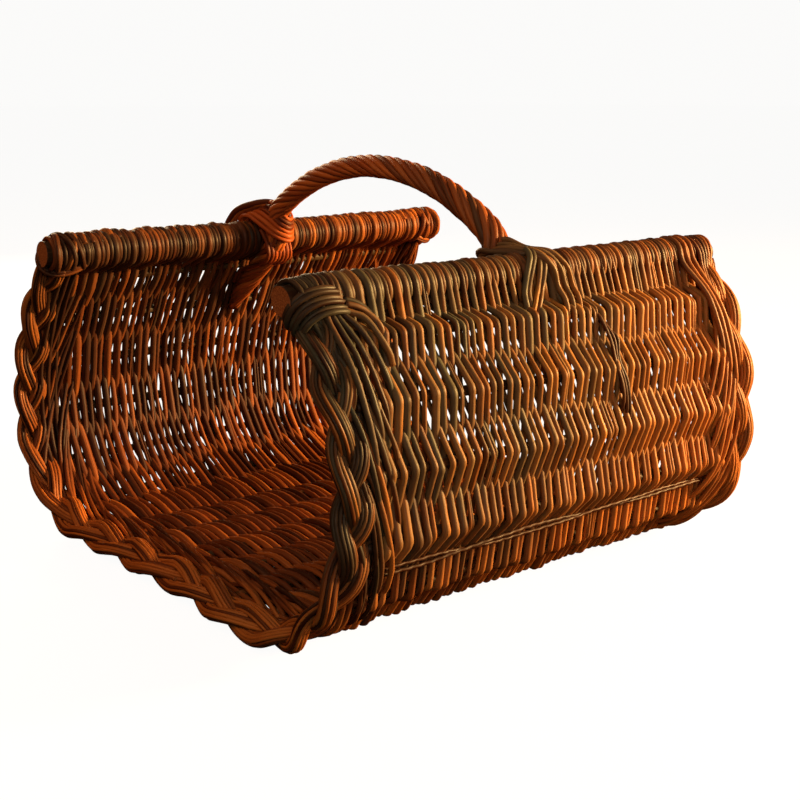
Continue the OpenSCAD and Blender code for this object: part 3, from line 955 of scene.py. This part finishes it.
def rings_round_rail(bundle, rail):
    """Rings round the rail beside its end."""
    turn = np.linspace(-100, 262, 26)
    for k in range(5):
        y = 217 - 4.6 * k
        lean = rng.uniform(1.5, 4.0) * np.linspace(1, -1, 26)
        ring = [rail(degrees, 2.2, y + shift) for degrees, shift in zip(turn, lean)]
        lash(bundle, ring, LASH_R * rng.uniform(0.95, 1.15))


def crossed_rings(bundle, rail):
    """Thick rings that cross each other over the end of the rail."""
    turn = np.linspace(-100, 262, 28)
    for k in range(4):
        odd = k % 2
        tilt = 5.5 * np.cos(np.radians(turn) - 0.6 * k) * (1 if odd else -1)
        ring = [rail(degrees, 4.6 + 0.8 * odd, 236 - 6.5 * k + shift) for degrees, shift in zip(turn, tilt)]
        lash(bundle, ring, 2.8 * MM)


def bands_round_border(bundle, wall, bands):
    """Pairs of rods wound round the border's head just under the rail."""
    for k in range(bands):
        for twin in (0, 1):
            drop = 4 + 7.7 * k + 3.7 * twin
            centre_y, half = 225 - 1.5 * k, 25 - 1.5 * k
            depth = (18.5 - 0.8 * k) * (1 + 0.05 * twin)
            controls = []
            for degrees in range(-150, 260, 24):
                angle = math.radians(degrees)
                lean = -6 * math.cos(angle) + 3 * math.sin(2 * angle)
                controls.append(wall(max(drop + lean, 0), depth * math.sin(angle),
                                     centre_y - half * math.cos(angle)))
            lash(bundle, controls, LASH_R * 0.92)


def band_tails(bundle, wall):
    """Two ends that leave the bands and go into the weave."""
    for k in range(2):
        lash(bundle, [wall(12 + 4 * k, 14, 207), wall(15 + 4 * k, 14, 198), wall(21 + 3 * k, 12, 189),
                      wall(33 + 3 * k, 10, 183 - 3 * k), wall(46, 2, 180)], LASH_R * 0.9)


def running_rods(bundle, rail, wall, runs_in, painted_warm_light):
    """Long loose rods from the rail down the wall; they run in from the border or out to it."""
    for k in range(5 if runs_in else 3):
        reach = 150 - 20 * k + rng.uniform(-8, 8)
        if runs_in:
            high, low = 226 - 4.5 * k, 212 - 9.0 * k
        else:
            high, low = 210 - 8.5 * k, 226 - 6.0 * k
        lash(bundle, [rail(150, 4, high + 1), rail(100, 4.5, high), rail(45, 5, high + 1),
                      wall(18, 12, high + 1), wall(0.45 * reach, 13, 0.5 * high + 0.5 * low + 2),
                      wall(0.8 * reach, 10, 0.2 * high + 0.8 * low), wall(reach, 3, low)],
             WEAVER_R * rng.uniform(0.8, 1.0), painted_warm_light=painted_warm_light)


def make_corner_knot(side, end, name, bands, runs_in):
    """The rods that bind a border's end to a rail's end."""
    _, rail, wall = spots(side, end)
    bundle = Bundle()
    rods_over_rail_end(bundle, rail, wall)
    rings_round_rail(bundle, rail)
    if side == LEFT:
        crossed_rings(bundle, rail)
    bands_round_border(bundle, wall, bands)
    if bands > 2:
        band_tails(bundle, wall)
    # the back corner's running rods get a little painted warm light as a golden tint
    running_rods(bundle, rail, wall, runs_in, 0.15 if end == BACK else 0.0)
    bundle.object(f"corner_rods_{name}", BORDER_BARK, "lashing", f"knot_{name}")


def make_lashings():
    make_right_lashing()
    make_left_lashing()
    make_corner_knot(RIGHT, FRONT, "front_right", 3, True)
    make_corner_knot(RIGHT, BACK, "back_right", 0, False)
    make_corner_knot(LEFT, FRONT, "front_left", 1, False)
    make_corner_knot(LEFT, BACK, "back_left", 1, False)


def make_mended_rods():
    """Thin dark rods pushed in over the weave of the right wall, as where a weaver has broken."""
    _, _, wall = spots(RIGHT)
    bundle = Bundle()
    for k in range(3):
        y = 62 + 3.4 * k
        points = smooth([wall(40 + 7 * k, 0, y - 5), wall(52 + 7 * k, 6.5, y - 3), wall(74, 7.0 + k, y + 1),
                         wall(92, 6.5, y + 1 - k), wall(112, 7.5, y + 3), wall(128 + 6 * k, 5.5, y + 4),
                         wall(142 + 6 * k, -1, y + 3)], 3 * MM)
        bundle.rod(points, 1.6 * MM, rng.uniform(0.1, 0.5), 0.15, sides=7)
    bundle.object("mended_rods", STAKE_BARK, "weave")


# ---- studio
PALE = (1.0, 0.995, 0.985, 1)
LIGHT_TARGET = (0, 0, 0.18)
# Area lights: name, place, (width, height), watts, colour
LIGHTS = (
    ("warm_key", (1.30, 1.95, 0.70), (0.5, 0.5), 270, (1.0, 0.61, 0.22)),
    ("front_fill", (1.92, -1.25, 0.90), (0.8, 0.8), 12, (1.0, 0.88, 0.68)),
    ("ember_fill", (-0.5, -1.6, 1.7), (1.0, 1.0), 17, (1.0, 0.47, 0.20)),
    ("left_fill", (-2.3, 0.5, 1.0), (1.0, 1.0), 38, (1.0, 0.72, 0.42)),
    ("top_fill", (0, 0, 2.6), (3.0, 3.0), 5, (1.0, 0.85, 0.70)),
    ("low_bounce", (1.9, 0.5, 0.12), (1.6, 0.3), 15, (1.0, 0.36, 0.09)),
)
CAMERA_PLACE = (0.9773, -0.8009, RAIL_Z + 0.1455)
CAMERA_AZIMUTH = math.radians(49.6)
CAMERA_PITCH = math.radians(12.96)
CAMERA_LENS, CAMERA_SENSOR = 59.2, 36


def make_floor():
    """A pale glowing floor that lights nothing."""
    half = 60
    mesh = bpy.data.meshes.new("floor")
    corners = [(-half, -half, 0), (half, -half, 0), (half, half, 0), (-half, half, 0)]
    mesh.from_pydata(corners, [], [(0, 1, 2, 3)])
    floor = bpy.data.objects.new("floor", mesh)
    material, _, _, shader = new_material("pale_floor", 0.9)
    shader.inputs["Base Color"].default_value = (0.10, 0.099, 0.098, 1)
    shader.inputs["Emission Color"].default_value = PALE
    shader.inputs["Emission Strength"].default_value = 0.96
    mesh.materials.append(material)
    bpy.context.scene.collection.objects.link(floor)
    floor.visible_diffuse = False
    floor.visible_glossy = False


def make_light(name, place, size, energy, colour):
    """An area light that faces the basket."""
    data = bpy.data.lights.new(name, "AREA")
    data.shape = "RECTANGLE"
    data.size, data.size_y = size
    data.energy = energy
    data.color = colour
    light = bpy.data.objects.new(name, data)
    light.location = place
    light.rotation_euler = (Vector(LIGHT_TARGET) - Vector(place)).to_track_quat("-Z", "Y").to_euler()
    bpy.context.scene.collection.objects.link(light)


def make_world():
    """A pale background that is only seen, and lights nothing."""
    world = bpy.data.worlds.new("studio")
    world.use_nodes = True
    background = world.node_tree.nodes["Background"]
    background.inputs["Color"].default_value = PALE
    background.inputs["Strength"].default_value = 0.965
    world.cycles_visibility.diffuse = False
    world.cycles_visibility.glossy = False
    bpy.context.scene.world = world


def make_studio():
    make_floor()
    for light in LIGHTS:
        make_light(*light)
    make_world()
    bpy.context.scene.view_settings.view_transform = "Standard"


def make_camera():
    """A camera at the front right, a little above the rails."""
    right = Vector((math.cos(CAMERA_AZIMUTH), math.sin(CAMERA_AZIMUTH), 0))
    level = Vector((math.sin(CAMERA_AZIMUTH), -math.cos(CAMERA_AZIMUTH), 0))
    back = level * math.cos(CAMERA_PITCH) + Vector((0, 0, math.sin(CAMERA_PITCH)))
    up = back.cross(right)
    data = bpy.data.cameras.new("camera")
    data.sensor_width = CAMERA_SENSOR
    data.lens = CAMERA_LENS
    camera = bpy.data.objects.new("camera", data)
    camera.matrix_world = Matrix.Translation(CAMERA_PLACE) \
        @ Matrix((right, up, back)).transposed().to_4x4()
    bpy.context.scene.collection.objects.link(camera)
    bpy.context.scene.camera = camera


make_camera()
make_stakes()
weavers = weaver_rows()
make_weavers(weavers)
make_rail_wraps(weavers)
make_rails()
for border_end, border_name in ENDS:
    make_border(border_end, border_name)
for border_end, border_name in ENDS:
    make_turned_rods(border_end, border_name)
make_twined_rows()
make_handle()
make_lashings()
make_mended_rods()
make_studio()
